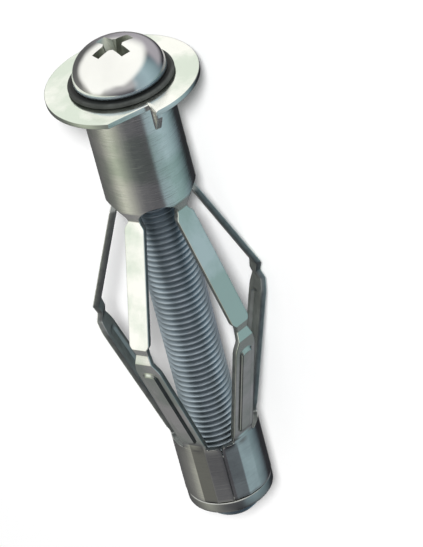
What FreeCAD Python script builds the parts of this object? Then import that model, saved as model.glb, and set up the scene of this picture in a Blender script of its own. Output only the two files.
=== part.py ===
"""Metal hollow wall anchor, partly drawn up, lying on its flange rim and two elbows.

The anchor has four pieces: the sleeve, folded from one sheet into a flange, a
collar, five legs and a second collar; the cap nut in the far collar; the washer
on the flange; and the pan head screw through them all.
Millimetres. The origin is on the axis at the flange's underside, which lies on
the wall. +X runs into the wall, and +Z is the direction of the upper leg.
"""

import FreeCAD, Part
import Sketcher
import os

Vector = FreeCAD.Vector

doc = FreeCAD.newDocument("hollow_wall_anchor")
sheet = doc.addObject("Spreadsheet::Sheet", "sizes")

# Driving dimensions: alias, value, what it is
SIZES = [
    ("sheet_thickness", 0.6, "thickness of the sleeve's sheet"),
    ("leg_count", 5, "legs of the sleeve"),
    ("flange_radius", 8.04, "flange rim"),
    ("flange_bend", 0.8, "rounding of the mouth where the sheet turns into the flange"),
    ("flange_root", 0.25, "rounding under the flange"),
    ("tube_radius", 4.8, "outside of both collars, for a 10 mm hole"),
    ("upper_collar_length", 12.55, "flange underside to the top of the slots"),
    ("slot_arch", 1.25, "height of the slots' arched ends"),
    ("neck_lead", 0.4, "top of the slots to the bend where the necks turn inwards"),
    ("neck_width", 1.4, "leg at the upper fold"),
    ("neck_length", 0.35, "straight part of the neck, up to the fold"),
    ("fold_inset", 0.38, "upper fold inside the collar's surface"),
    ("fold_thinning", 0.15, "sheet lost inside the neck at the upper fold"),
    ("shoulder_run", 0.9, "neck to full width"),
    ("upper_leg_width", 2.3, "flat upper leg"),
    ("upper_leg_run", 12.95, "upper fold to first ridge, along the axis"),
    ("elbow_reach", 9.42, "axis to the elbow's ridges"),
    ("ridge_width", 1.75, "leg at the first ridge"),
    ("ridge_corner", 0.4, "length of the corners cut at the first ridge"),
    ("valley_depth", 0.52, "depth of the crease between the ridges"),
    ("valley_run", 0.7, "first ridge to crease, along the axis"),
    ("valley_width", 1.45, "leg at the crease"),
    ("second_ridge_run", 1.25, "crease to second ridge, along the axis"),
    ("second_ridge_width", 2.0, "leg at the second ridge"),
    ("lower_shoulder_run", 1.5, "second ridge to full width"),
    ("lower_leg_width", 2.85, "beaded lower leg"),
    ("lower_leg_run", 14.65, "second ridge to lower fold, along the axis"),
    ("lower_root", 0.75, "lower fold to the end of the slots"),
    ("slot_corner", 0.25, "bevel in the lower corners of the slots"),
    ("bead_width", 1.25, "rib pressed out of the lower leg"),
    ("bead_height", 0.28, "height of the rib"),
    ("bead_flank", 30, "slope of the rib's sides, in degrees"),
    ("bead_lead", 1.7, "second ridge to the rib's end"),
    ("bead_tail", 0.45, "rib's other end to the lower fold"),
    ("lower_collar_length", 7.35, "end of the slots to the end of the sleeve"),
    ("seam_gap", 0.12, "butt seam of the rolled collar"),
    ("seam_mouth", 0.9, "width of the seam's flared end"),
    ("seam_flare", 0.4, "length of the seam's flared end"),
    ("claw_angle", 17.8, "seam to each claw's fold, in degrees round the axis"),
    ("claw_sweep", 35.6, "rim taken up by each claw's notch, in degrees"),
    ("claw_root_radius", 6.45, "inner end of the claw's fold"),
    ("claw_length", 2.3, "claw below the flange"),
    ("claw_point", 0.3, "width of the claw's point"),
    ("shank_radius", 3.0, "thread crest of the screw"),
    ("running_clearance", 0.03, "screw in the nut"),
    ("nut_play", 0.02, "nut in the collar"),
    ("nut_body_length", 5.8, "nut inside the collar"),
    ("nut_bevel", 0.4, "bevels of the nut"),
    ("nut_ring_radius", 4.75, "ring of the nut outside the sleeve"),
    ("nut_ring_length", 1.6, "thickness of that ring"),
    ("nut_ring_bevel", 0.22, "bevel on the ring's upper rim"),
    ("washer_radius", 5.55, "washer"),
    ("washer_thickness", 0.55, "washer"),
    ("washer_clearance", 0.2, "washer's hole round the screw"),
    ("washer_bevel", 0.14, "washer's upper rim"),
    ("head_radius", 4.87, "pan head"),
    ("head_rim", 0.32, "height of the head's rim above the washer"),
    ("head_seat_inset", 0.3, "rounding under the head's rim"),
    ("head_side_radius", 3.0, "roundness of the head's side"),
    ("head_crown_radius", 8.2, "roundness of the head's top"),
    ("recess_angle", 29, "seam to a wing of the cross recess, in degrees"),
    ("recess_reach", 2.3, "wing of the recess at the head's top"),
    ("recess_foot", 0.95, "wing of the recess at its depth"),
    ("recess_width", 0.95, "width of a wing"),
    ("recess_depth", 2.6, "depth of the wings"),
    ("recess_core", 1.05, "round core of the recess at the head's top"),
    ("recess_core_foot", 0.6, "round core at its depth"),
    ("screw_projection", 2.05, "screw past the nut"),
    ("tip_bevel", 0.45, "bevel of the screw's tip"),
]
for row, (alias, number, note) in enumerate(SIZES, start=1):
    sheet.set("A%d" % row, note)
    sheet.set("B%d" % row, str(number))
    sheet.setAlias("B%d" % row, alias)
doc.recompute()

# Places and sizes that follow from the driving ones, as expressions
TUBE_INNER = "(sizes.tube_radius - sizes.sheet_thickness)"
HALF_PITCH = "(180 deg / sizes.leg_count)"
SLOT_MID = "(sizes.tube_radius * sin(%s) + 0.02)" % HALF_PITCH
NECK = "(sizes.upper_collar_length + sizes.slot_arch)"
NECK_BEND = "(sizes.upper_collar_length + sizes.neck_lead)"
UPPER_FOLD = "(%s + sizes.neck_length)" % NECK
FOLD_REACH = "(sizes.tube_radius - sizes.fold_inset)"
NECK_SLOPE = "(sizes.fold_inset / (%s - %s))" % (UPPER_FOLD, NECK_BEND)
RIDGE = "(%s + sizes.upper_leg_run)" % UPPER_FOLD
VALLEY = "(%s + sizes.valley_run)" % RIDGE
VALLEY_REACH = "(sizes.elbow_reach - sizes.valley_depth)"
SECOND_RIDGE = "(%s + sizes.second_ridge_run)" % VALLEY
LOWER_FOLD = "(%s + sizes.lower_leg_run)" % SECOND_RIDGE
COLLAR_START = "(%s + sizes.lower_root)" % LOWER_FOLD
SLEEVE_END = "(%s + sizes.lower_collar_length)" % COLLAR_START
LEG_RISE = "(sizes.elbow_reach - sizes.tube_radius)"
UPPER_SLOPE = "((%s + sizes.fold_inset) / sizes.upper_leg_run)" % LEG_RISE
LOWER_SLOPE = "(%s / sizes.lower_leg_run)" % LEG_RISE
LOWER_TILT = "atan(%s)" % LOWER_SLOPE
LOWER_LENGTH = "(sizes.lower_leg_run / cos(%s))" % LOWER_TILT
NUT_END = "(%s + sizes.nut_ring_length)" % SLEEVE_END
NUT_BORE = "(sizes.shank_radius + sizes.running_clearance)"
NUT_BODY = "(%s - sizes.nut_play)" % TUBE_INNER
FLANGE_TOP = "(0 - sizes.sheet_thickness)"
HEAD_SEAT = "(%s - sizes.washer_thickness)" % FLANGE_TOP
HEAD_RIM = "(%s - sizes.head_rim)" % HEAD_SEAT
SIDE_OFFSET = "(sizes.head_radius - sizes.head_side_radius)"
CROWN_OFFSET = "(sizes.head_crown_radius - sizes.head_side_radius)"
CROWN_DROP = "sqrt(%s ^ 2 - %s ^ 2)" % (CROWN_OFFSET, SIDE_OFFSET)
HEAD_TOP = "(%s - sizes.head_crown_radius + %s)" % (HEAD_RIM, CROWN_DROP)
SCREW_TIP = "(%s + sizes.screw_projection)" % NUT_END


def value(expression):
    """The number that an expression gives now, in millimetres or degrees."""
    result = sheet.evalExpression(expression)
    return float(getattr(result, "Value", result))


def new_body(label):
    """An empty body for one sub-part."""
    body = doc.addObject("PartDesign::Body", label)
    body.Label = label
    body.Placement = FreeCAD.Placement()
    if hasattr(body, "AllowCompound"):
        body.AllowCompound = True
    return body


def new_sketch(body, name, role, axis=None, angle=None, base=None):
    """A sketch on an origin plane of its body, turned about a plane axis or moved by expressions."""
    sketch = body.newObject("Sketcher::SketchObject", name)
    plane = [item for item in body.Origin.OriginFeatures if item.Role == role][0]
    sketch.AttachmentSupport = (plane, [""])
    sketch.MapMode = "FlatFace"
    if axis is not None:
        turn = FreeCAD.Rotation(axis, value(angle))
        sketch.AttachmentOffset = FreeCAD.Placement(Vector(), turn)
        sketch.setExpression("AttachmentOffset.Rotation.Angle", angle)
    if base is not None:
        for letter, expression in zip("xyz", base):
            sketch.setExpression("AttachmentOffset.Base.%s" % letter, expression)
    return sketch


def fix(sketch, kind, geometry, position, expression):
    """A point's coordinate in a sketch, bound to an expression."""
    rule = Sketcher.Constraint(kind, geometry, position, value(expression))
    index = sketch.addConstraint(rule)
    sketch.setExpression("Constraints[%d]" % index, expression)


def draw(sketch, corners, arcs=None):
    """A closed outline through corners given as expressions.

    arcs maps a corner's index to the arc from it to the next corner: the arc's
    centre, 1 for anticlockwise or -1 for clockwise, and the axis, X or Y, along
    which the centre's place is stated.
    """
    arcs = arcs or {}
    points = [Vector(value(x), value(y), 0) for x, y in corners]
    ends = []
    for i, start in enumerate(points):
        finish = points[(i + 1) % len(points)]
        if i not in arcs:
            geometry = sketch.addGeometry(Part.LineSegment(start, finish))
            ends.append((geometry, 1, 2))
            continue
        (cx, cy), turn, stated = arcs[i]
        centre = Vector(value(cx), value(cy), 0)
        first, last = (start, finish) if turn > 0 else (finish, start)
        circle = Part.Circle(centre, Vector(0, 0, 1), (start - centre).Length)
        curve = Part.ArcOfCircle(circle, circle.parameter(first), circle.parameter(last))
        geometry = sketch.addGeometry(curve)
        ends.append((geometry, 1, 2) if turn > 0 else (geometry, 2, 1))
    for i, (geometry, start, finish) in enumerate(ends):
        following = ends[(i + 1) % len(ends)]
        sketch.addConstraint(
            Sketcher.Constraint("Coincident", geometry, finish, following[0], following[1])
        )
    for (geometry, start, finish), (x, y) in zip(ends, corners):
        fix(sketch, "DistanceX", geometry, start, x)
        fix(sketch, "DistanceY", geometry, start, y)
    for i, ((cx, cy), turn, stated) in arcs.items():
        fix(sketch, "Distance" + stated, ends[i][0], 3, cx if stated == "X" else cy)


def new_feature(body, kind, name, sketch):
    """A feature made from a sketch, which becomes the body's tip."""
    feature = body.newObject("PartDesign::" + kind, name)
    feature.Profile = sketch
    sketch.Visibility = False
    return feature


def revolve(body, kind, name, sketch):
    """A revolution or groove about the anchor's axis."""
    feature = new_feature(body, kind, name, sketch)
    feature.ReferenceAxis = (sketch, ["H_Axis"])
    feature.Angle = 360
    return feature


def pattern(body, name, originals, count):
    """Copies of features round the anchor's axis."""
    feature = body.newObject("PartDesign::PolarPattern", name)
    feature.Originals = originals
    axis = [item for item in body.Origin.OriginFeatures if item.Role == "X_Axis"][0]
    feature.Axis = (axis, [""])
    feature.Angle = 360
    feature.setExpression("Occurrences", count)
    body.Tip = feature
    return feature


def ring_edges(shape, rings):
    """The names of the circular edges round the axis at each given place and radius."""
    names = []
    for place, radius in rings:
        for i, edge in enumerate(shape.Edges, start=1):
            if not isinstance(edge.Curve, Part.Circle):
                continue
            same_place = abs(edge.Curve.Center.x - value(place)) < 1e-4
            same_radius = abs(edge.Curve.Radius - value(radius)) < 1e-4
            if same_place and same_radius:
                names.append("Edge%d" % i)
    return names


def round_edges(body, name, base, edges, radius):
    """A fillet on named edges of the feature before it."""
    feature = body.newObject("PartDesign::Fillet", name)
    feature.Base = (base, edges)
    feature.setExpression("Radius", radius)
    return feature


def sleeve_walls(body):
    """Flange, upper collar and lower collar, turned before the legs are cut."""
    sketch = new_sketch(body, "collar_sections", "XZ_Plane")
    neck_lift = "(sizes.sheet_thickness * sqrt(1 + %s ^ 2))" % NECK_SLOPE
    upper = [
        (FLANGE_TOP, TUBE_INNER),
        (FLANGE_TOP, "sizes.flange_radius"),
        ("0", "sizes.flange_radius"),
        ("0", "sizes.tube_radius"),
        (NECK_BEND, "sizes.tube_radius"),
        (UPPER_FOLD, FOLD_REACH),
        (UPPER_FOLD, "(%s - %s + sizes.fold_thinning)" % (FOLD_REACH, neck_lift)),
        inner_corner(NECK_BEND, "sizes.tube_radius", "0", "(0 - %s)" % NECK_SLOPE),
    ]
    draw(sketch, upper)
    walls = revolve(body, "Revolution", "flange_and_collar", sketch)
    doc.recompute()
    mouth = ring_edges(walls.Shape, [(FLANGE_TOP, TUBE_INNER)])
    mouth = round_edges(body, "flange_mouth", walls, mouth, "sizes.flange_bend")
    doc.recompute()
    root = ring_edges(mouth.Shape, [("0", "sizes.tube_radius")])
    round_edges(body, "flange_root", mouth, root, "sizes.flange_root")

    lower = new_sketch(body, "lower_collar_section", "XZ_Plane")
    draw(
        lower,
        [
            (LOWER_FOLD, TUBE_INNER),
            (LOWER_FOLD, "sizes.tube_radius"),
            (SLEEVE_END, "sizes.tube_radius"),
            (SLEEVE_END, TUBE_INNER),
        ],
    )
    revolve(body, "Revolution", "lower_collar", lower)
    doc.recompute()


def inner_corner(x, reach, slope_in, slope_out):
    """The place under a corner of the leg's outer line, one sheet thickness inside.

    The two slopes are the rises before and after the corner. The corner of the
    inner line is where both lines, moved in by the thickness, cross.
    """
    lift_in = "sizes.sheet_thickness * sqrt(1 + %s ^ 2)" % slope_in
    lift_out = "sizes.sheet_thickness * sqrt(1 + %s ^ 2)" % slope_out
    shift = "((%s - %s) / (%s - %s))" % (lift_in, lift_out, slope_in, slope_out)
    inner_x = "(%s + %s)" % (x, shift)
    inner_reach = "(%s - %s + %s * %s)" % (reach, lift_in, slope_in, shift)
    return inner_x, inner_reach


def sleeve_legs(body):
    """One leg, folded out with a creased elbow and a pressed rib, and its copies."""
    into_valley = "(0 - sizes.valley_depth / sizes.valley_run)"
    out_of_valley = "(sizes.valley_depth / sizes.second_ridge_run)"
    falling = "(0 - %s)" % LOWER_SLOPE
    lower_lift = "sizes.sheet_thickness * sqrt(1 + %s ^ 2)" % LOWER_SLOPE
    lower_seat = "((%s - sizes.sheet_thickness) / %s)" % (lower_lift, LOWER_SLOPE)
    burial = "(0.4 * sizes.sheet_thickness)"
    narrowing = "(0 - %s)" % NECK_SLOPE
    middle = "(%s + %s * %s - 0.5 * sizes.sheet_thickness)" % (FOLD_REACH, burial, NECK_SLOPE)
    end = "(%s + 1.2 * sizes.lower_root)" % LOWER_FOLD
    end_drop = "(1.2 * sizes.lower_root * %s)" % LOWER_SLOPE

    side = new_sketch(body, "leg_side", "XZ_Plane")
    draw(
        side,
        [
            ("(%s - %s)" % (UPPER_FOLD, burial), middle),
            (UPPER_FOLD, FOLD_REACH),
            (RIDGE, "sizes.elbow_reach"),
            (VALLEY, VALLEY_REACH),
            (SECOND_RIDGE, "sizes.elbow_reach"),
            (end, "(sizes.tube_radius - %s)" % end_drop),
            (end, "(%s + 0.05)" % TUBE_INNER),
            ("(%s - %s)" % (LOWER_FOLD, lower_seat), TUBE_INNER),
            inner_corner(SECOND_RIDGE, "sizes.elbow_reach", out_of_valley, falling),
            inner_corner(VALLEY, VALLEY_REACH, into_valley, out_of_valley),
            inner_corner(RIDGE, "sizes.elbow_reach", UPPER_SLOPE, into_valley),
            inner_corner(UPPER_FOLD, FOLD_REACH, narrowing, UPPER_SLOPE),
        ],
    )
    strip = new_feature(body, "Pad", "leg_strip", side)
    strip.SideType = "Symmetric"
    strip.setExpression("Length", "sizes.lower_leg_width")
    doc.recompute()

    plan = new_sketch(body, "leg_outline", "XY_Plane")
    neck = "(sizes.neck_width / 2)"
    narrow = "(sizes.upper_leg_width / 2)"
    wide = "(sizes.lower_leg_width / 2)"
    arch_rise = "(%s - %s)" % (SLOT_MID, neck)
    arch_radius = "((sizes.slot_arch ^ 2 + %s ^ 2) / (2 * sizes.slot_arch))" % arch_rise
    arch_centre = "(sizes.upper_collar_length + %s)" % arch_radius
    edge = [
        ("sizes.upper_collar_length", SLOT_MID),
        (NECK, neck),
        (UPPER_FOLD, neck),
        ("(%s + sizes.shoulder_run)" % UPPER_FOLD, narrow),
        ("(%s - sizes.ridge_corner)" % RIDGE, narrow),
        (RIDGE, "(sizes.ridge_width / 2)"),
        (VALLEY, "(sizes.valley_width / 2)"),
        (SECOND_RIDGE, "(sizes.second_ridge_width / 2)"),
        ("(%s + sizes.lower_shoulder_run)" % SECOND_RIDGE, wide),
        ("(%s - sizes.slot_corner)" % COLLAR_START, wide),
        (COLLAR_START, "(%s + sizes.slot_corner)" % wide),
        (COLLAR_START, SLOT_MID),
    ]
    draw(plan, edge, {0: ((arch_centre, SLOT_MID), 1, "Y")})
    mirrored = [(x, "(0 - %s)" % y) for x, y in edge]
    draw(plan, mirrored, {0: ((arch_centre, "(0 - %s)" % SLOT_MID), -1, "Y")})
    sides = new_feature(body, "Pocket", "leg_sides", plan)
    sides.Type = "ThroughAll"
    sides.Reversed = True
    doc.recompute()

    outside = (SECOND_RIDGE, "0", "sizes.elbow_reach")
    rib_end = "(%s - sizes.bead_tail)" % LOWER_LENGTH
    rib = new_sketch(body, "rib_outline", "XY_Plane", Vector(0, 1, 0), LOWER_TILT, outside)
    rib_outline(rib, "sizes.bead_lead", rib_end, "(sizes.bead_width / 2)", "0")
    raised = new_feature(body, "Pad", "rib", rib)
    raised.setExpression("Length", "sizes.bead_height")
    raised.setExpression("TaperAngle", "0 - sizes.bead_flank")
    doc.recompute()

    back = new_sketch(body, "rib_back_outline", "XY_Plane", Vector(0, 1, 0), LOWER_TILT, outside)
    inset = "(sizes.bead_height * tan(sizes.bead_flank * 1 deg))"
    rib_outline(back, "sizes.bead_lead", rib_end, "(sizes.bead_width / 2 - %s)" % inset, inset)
    back.setExpression(
        "AttachmentOffset.Base.x",
        "%s - sizes.sheet_thickness * sin(%s)" % (SECOND_RIDGE, LOWER_TILT),
    )
    back.setExpression(
        "AttachmentOffset.Base.z",
        "sizes.elbow_reach - sizes.sheet_thickness * cos(%s)" % LOWER_TILT,
    )
    hollow = new_feature(body, "Pocket", "rib_back", back)
    hollow.Reversed = True
    hollow.setExpression("Length", "sizes.bead_height")
    doc.recompute()
    pattern(body, "legs", [strip, sides, raised, hollow], "sizes.leg_count")
    doc.recompute()


def rib_outline(sketch, start, finish, half_width, inset):
    """A slot shape with round ends, for the rib and for the hollow behind it."""
    near = "(%s + %s + %s)" % (start, inset, half_width)
    far = "(%s - %s - %s)" % (finish, inset, half_width)
    low = "(0 - %s)" % half_width
    draw(
        sketch,
        [(near, half_width), (near, low), (far, low), (far, half_width)],
        {0: ((near, "0"), 1, "X"), 2: ((far, "0"), 1, "X")},
    )


def sleeve_claws(body):
    """Two notches in the flange and the claws folded down out of them."""
    fold = "(%s + sizes.claw_angle * 1 deg)" % HALF_PITCH
    open_end = "(%s - sizes.claw_sweep * 1 deg)" % fold
    beyond = "(1.12 * sizes.flange_radius)"
    notch = new_sketch(body, "claw_notch_outline", "YZ_Plane")
    corners = [
        ("sizes.claw_root_radius", fold),
        ("sizes.flange_radius", open_end),
        (beyond, "(%s - 2 deg)" % open_end),
        (beyond, fold),
    ]
    draw(notch, [("%s * sin(%s)" % c, "%s * cos(%s)" % c) for c in corners])
    cut = new_feature(body, "Pocket", "claw_notch", notch)
    cut.Reversed = False
    cut.setExpression("Length", "sizes.sheet_thickness")
    doc.recompute()

    turned = "(0 deg - %s)" % fold
    blade = new_sketch(body, "claw_outline", "XZ_Plane", Vector(1, 0, 0), turned)
    draw(
        blade,
        [
            (FLANGE_TOP, "sizes.claw_root_radius"),
            ("sizes.claw_length", "sizes.claw_root_radius"),
            ("sizes.claw_length", "(sizes.claw_root_radius + sizes.claw_point)"),
            ("0.2 * sizes.claw_length", "(sizes.flange_radius - 0.1)"),
            (FLANGE_TOP, "(sizes.flange_radius - 0.05)"),
        ],
    )
    claw = new_feature(body, "Pad", "claw", blade)
    claw.setExpression("Length", "sizes.sheet_thickness")
    doc.recompute()
    pattern(body, "claws", [cut, claw], "2")
    doc.recompute()


def sleeve_seam(body):
    """The butt seam of the rolled lower collar, flared at its upper end."""
    turned = "(0 deg - %s)" % HALF_PITCH
    sketch = new_sketch(body, "seam_outline", "XY_Plane", Vector(1, 0, 0), turned)
    gap = "(sizes.seam_gap / 2)"
    mouth = "(sizes.seam_mouth / 2)"
    before = "(%s - 0.2)" % COLLAR_START
    throat = "(%s + sizes.seam_flare)" % COLLAR_START
    past = "(%s + 0.2)" % SLEEVE_END
    draw(
        sketch,
        [
            (before, "(0 - %s)" % mouth),
            (COLLAR_START, "(0 - %s)" % mouth),
            (throat, "(0 - %s)" % gap),
            (past, "(0 - %s)" % gap),
            (past, gap),
            (throat, gap),
            (COLLAR_START, mouth),
            (before, mouth),
        ],
    )
    seam = new_feature(body, "Pocket", "seam", sketch)
    seam.Type = "ThroughAll"
    seam.Reversed = True
    doc.recompute()


def make_sleeve():
    """Flange, collars and legs, folded from one sheet."""
    body = new_body("sleeve")
    sleeve_walls(body)
    sleeve_legs(body)
    sleeve_claws(body)
    sleeve_seam(body)
    return body


def make_nut():
    """The threaded cap nut: a body inside the lower collar and a ring that closes its end."""
    body = new_body("cap_nut")
    start = "(%s - sizes.nut_body_length)" % SLEEVE_END
    rim = "sizes.nut_ring_radius"
    bevel = "sizes.nut_bevel"
    sketch = new_sketch(body, "nut_section", "XZ_Plane")
    draw(
        sketch,
        [
            ("(%s + %s)" % (start, bevel), NUT_BORE),
            (start, "(%s + %s)" % (NUT_BORE, bevel)),
            (start, "(%s - %s)" % (NUT_BODY, "sizes.nut_ring_bevel")),
            ("(%s + %s)" % (start, "sizes.nut_ring_bevel"), NUT_BODY),
            (SLEEVE_END, NUT_BODY),
            (SLEEVE_END, "(%s - sizes.nut_ring_bevel)" % rim),
            ("(%s + sizes.nut_ring_bevel)" % SLEEVE_END, rim),
            ("(%s - %s)" % (NUT_END, bevel), rim),
            (NUT_END, "(%s - 0.8 * %s)" % (rim, bevel)),
            (NUT_END, "(%s + %s)" % (NUT_BORE, bevel)),
            ("(%s - %s)" % (NUT_END, bevel), NUT_BORE),
        ],
    )
    revolve(body, "Revolution", "nut_turned", sketch)
    doc.recompute()
    return body


def make_washer():
    """The dark washer between the head and the flange."""
    body = new_body("washer")
    hole = "(sizes.shank_radius + sizes.washer_clearance)"
    sketch = new_sketch(body, "washer_section", "XZ_Plane")
    draw(
        sketch,
        [
            (FLANGE_TOP, hole),
            (FLANGE_TOP, "sizes.washer_radius"),
            ("(%s + sizes.washer_bevel)" % HEAD_SEAT, "sizes.washer_radius"),
            (HEAD_SEAT, "(sizes.washer_radius - sizes.washer_bevel)"),
            (HEAD_SEAT, hole),
        ],
    )
    revolve(body, "Revolution", "washer_turned", sketch)
    doc.recompute()
    return body


def make_screw():
    """The pan head screw, with a plain shank at the thread's crest and a cross recess."""
    body = new_body("screw")
    crown_centre = "(%s + sizes.head_crown_radius)" % HEAD_TOP
    share = "(sizes.head_crown_radius / %s)" % CROWN_OFFSET
    join_x = "(%s - %s * %s)" % (crown_centre, share, CROWN_DROP)
    join_y = "(%s * %s)" % (share, SIDE_OFFSET)
    sketch = new_sketch(body, "screw_section", "XZ_Plane")
    draw(
        sketch,
        [
            (HEAD_TOP, "0"),
            (join_x, join_y),
            (HEAD_RIM, "sizes.head_radius"),
            (HEAD_SEAT, "(sizes.head_radius - sizes.head_seat_inset)"),
            (HEAD_SEAT, "sizes.shank_radius"),
            ("(%s - sizes.tip_bevel)" % SCREW_TIP, "sizes.shank_radius"),
            (SCREW_TIP, "(sizes.shank_radius - sizes.tip_bevel)"),
            (SCREW_TIP, "0"),
        ],
        {
            0: ((crown_centre, "0"), -1, "Y"),
            1: ((HEAD_RIM, SIDE_OFFSET), -1, "X"),
        },
    )
    revolve(body, "Revolution", "screw_turned", sketch)
    doc.recompute()

    turned = "(0 deg - %s - sizes.recess_angle * 1 deg)" % HALF_PITCH
    above = "(%s - 0.3)" % HEAD_TOP
    foot = "(%s + sizes.recess_depth)" % HEAD_TOP
    wing = new_sketch(body, "recess_wing_side", "XZ_Plane", Vector(1, 0, 0), turned)
    draw(
        wing,
        [
            (above, "0"),
            (above, "(sizes.recess_reach + 0.1)"),
            (HEAD_TOP, "(sizes.recess_reach + 0.1)"),
            (foot, "sizes.recess_foot"),
            (foot, "0"),
        ],
    )
    cut = new_feature(body, "Pocket", "recess_wing", wing)
    cut.SideType = "Symmetric"
    cut.setExpression("Length", "sizes.recess_width")
    doc.recompute()
    pattern(body, "recess_wings", [cut], "4")
    doc.recompute()

    core = new_sketch(body, "recess_core_section", "XZ_Plane")
    draw(
        core,
        [
            (above, "0"),
            (above, "sizes.recess_core"),
            (foot, "sizes.recess_core_foot"),
            ("(%s + 0.3)" % foot, "0"),
        ],
    )
    revolve(body, "Groove", "recess_core", core)
    doc.recompute()
    return body


def check(parts):
    """Every object in the document is up to date, and every sub-part is a valid solid."""
    for item in doc.Objects:
        if "Invalid" in item.State or "Error" in item.State:
            raise RuntimeError("%s has state %s" % (item.Name, item.State))
    for item in parts:
        if item.Shape.isNull() or not item.Shape.isValid():
            raise RuntimeError("%s has no valid shape" % item.Label)
        if len(item.Shape.Solids) != 1:
            raise RuntimeError("%s has %d solids" % (item.Label, len(item.Shape.Solids)))


parts = [make_sleeve(), make_nut(), make_washer(), make_screw()]
doc.recompute()
check(parts)
os.makedirs("parts", exist_ok=True)
for item in parts:
    item.Shape.exportStep("parts/%s.step" % item.Label)
    box = item.Shape.BoundBox
    print(
        item.Label, "volume %.2f" % item.Shape.Volume,
        "X %.2f %.2f Y %.2f %.2f" % (box.XMin, box.XMax, box.YMin, box.YMax),
        "Z %.2f %.2f" % (box.ZMin, box.ZMax),
    )
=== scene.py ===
"""Looks of a metal hollow wall anchor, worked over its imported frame.

The anchor has four pieces: the sleeve, folded from one sheet, the cap nut with
its inner thread, the washer, and the pan head screw with its outer thread.
Lengths inside the functions that make shapes are in millimetres, and put_mesh
gives metres. A turn round the anchor's axis is measured from +Z towards +Y.
"""

import math

import bmesh
import bpy
import numpy as np
from mathutils import Matrix, Vector


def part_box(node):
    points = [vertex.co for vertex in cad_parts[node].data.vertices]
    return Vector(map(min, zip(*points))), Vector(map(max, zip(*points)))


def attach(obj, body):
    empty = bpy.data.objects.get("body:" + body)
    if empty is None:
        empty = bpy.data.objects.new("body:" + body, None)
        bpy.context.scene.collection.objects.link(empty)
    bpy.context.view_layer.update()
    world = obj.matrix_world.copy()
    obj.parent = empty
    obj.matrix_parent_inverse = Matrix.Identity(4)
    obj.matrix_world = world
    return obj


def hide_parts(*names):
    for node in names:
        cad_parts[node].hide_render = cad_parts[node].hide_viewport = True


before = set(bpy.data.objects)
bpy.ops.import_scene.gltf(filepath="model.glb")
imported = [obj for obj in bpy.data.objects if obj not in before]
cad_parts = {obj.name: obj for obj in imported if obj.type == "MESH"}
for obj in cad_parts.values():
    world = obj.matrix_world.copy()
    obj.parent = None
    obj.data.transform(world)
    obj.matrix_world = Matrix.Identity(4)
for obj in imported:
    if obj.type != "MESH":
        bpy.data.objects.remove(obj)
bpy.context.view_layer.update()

bl_info = {
    "name": "Hollow wall anchor",
    "version": (1, 0, 0),
    "blender": (4, 5, 0),
    "location": "3D View > Sidebar > Anchor",
    "description": "Sleeve, cap nut, washer and screw of a metal hollow wall anchor",
    "category": "Object",
}


def node_span(node, axis):
    """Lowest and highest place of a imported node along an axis, in millimetres."""
    low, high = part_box(node)
    return low[axis] * 1000, high[axis] * 1000


SLEEVE_END = node_span("sleeve", 0)[1]
NUT_START, NUT_END = node_span("cap_nut", 0)
SCREW_TIP = node_span("screw", 0)[1]
HEAD_SEAT, FLANGE_TOP = node_span("washer", 0)
FLOOR = node_span("sleeve", 2)[0]

# Places along the axis where the sheet is folded or cut
NECK_BEND = 12.95
UPPER_FOLD = 14.15
FIRST_RIDGE = 27.1
CREASE = 28.0
SECOND_RIDGE = 29.05
LOWER_FOLD = 43.7
SLOT_CORNER = 44.2
SLOT_END = 44.45

# Each leg has its sector of the sleeve, in degrees, and the seam lies between the
# first two: at the right side, 1, of number 0 and the left side, -1, of number 1
LEGS = 5
SECTOR = 72
HALF_SECTOR = math.radians(SECTOR / 2)
SEAM_SIDES = ((0, 1), (1, -1))

# The claws' folds, in turns from +Z, the rim that each notch takes up, the radius
# at which a fold starts, and the radius past which the notches draw the flange in
CLAW_FOLDS = (53.8, 233.8)
CLAW_SWEEP = 35.6
CLAW_ROOT = 6.45
NOTCH_START = 5.3

# The pan head: radii of its top and its side, height and inset of its rim, and
# the turn of a wing of its recess
HEAD_CROWN = 8.2
HEAD_SIDE = 3.0
HEAD_RIM = 0.32
HEAD_INSET = 0.3
WING_TURN = math.radians(65)

# Points closer than these are merged: in a piece, in metres, and in the blank and
# the cutters of the head, in millimetres. Edges that turn by more than SHARP stay
# sharp
PIECE_MERGE = 2e-6
BLANK_MERGE = 1e-4
SHARP = math.radians(34)

# Marks of faces, by which a piece's materials are given out
OUTSIDE, SHORN, INSIDE, RIB_FLANK = range(4)
HEAD, RECESS, THREAD = range(3)


def length(name, description, millimetres):
    """A length that the user can change."""
    return bpy.props.FloatProperty(
        name=name,
        description=description,
        default=millimetres / 1000,
        min=0.0,
        precision=5,
        unit="LENGTH",
    )


def colour(name, description, rgb):
    """A colour that the user can change."""
    return bpy.props.FloatVectorProperty(
        name=name,
        description=description,
        default=rgb,
        min=0.0,
        max=1.0,
        size=3,
        subtype="COLOR",
    )


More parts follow.
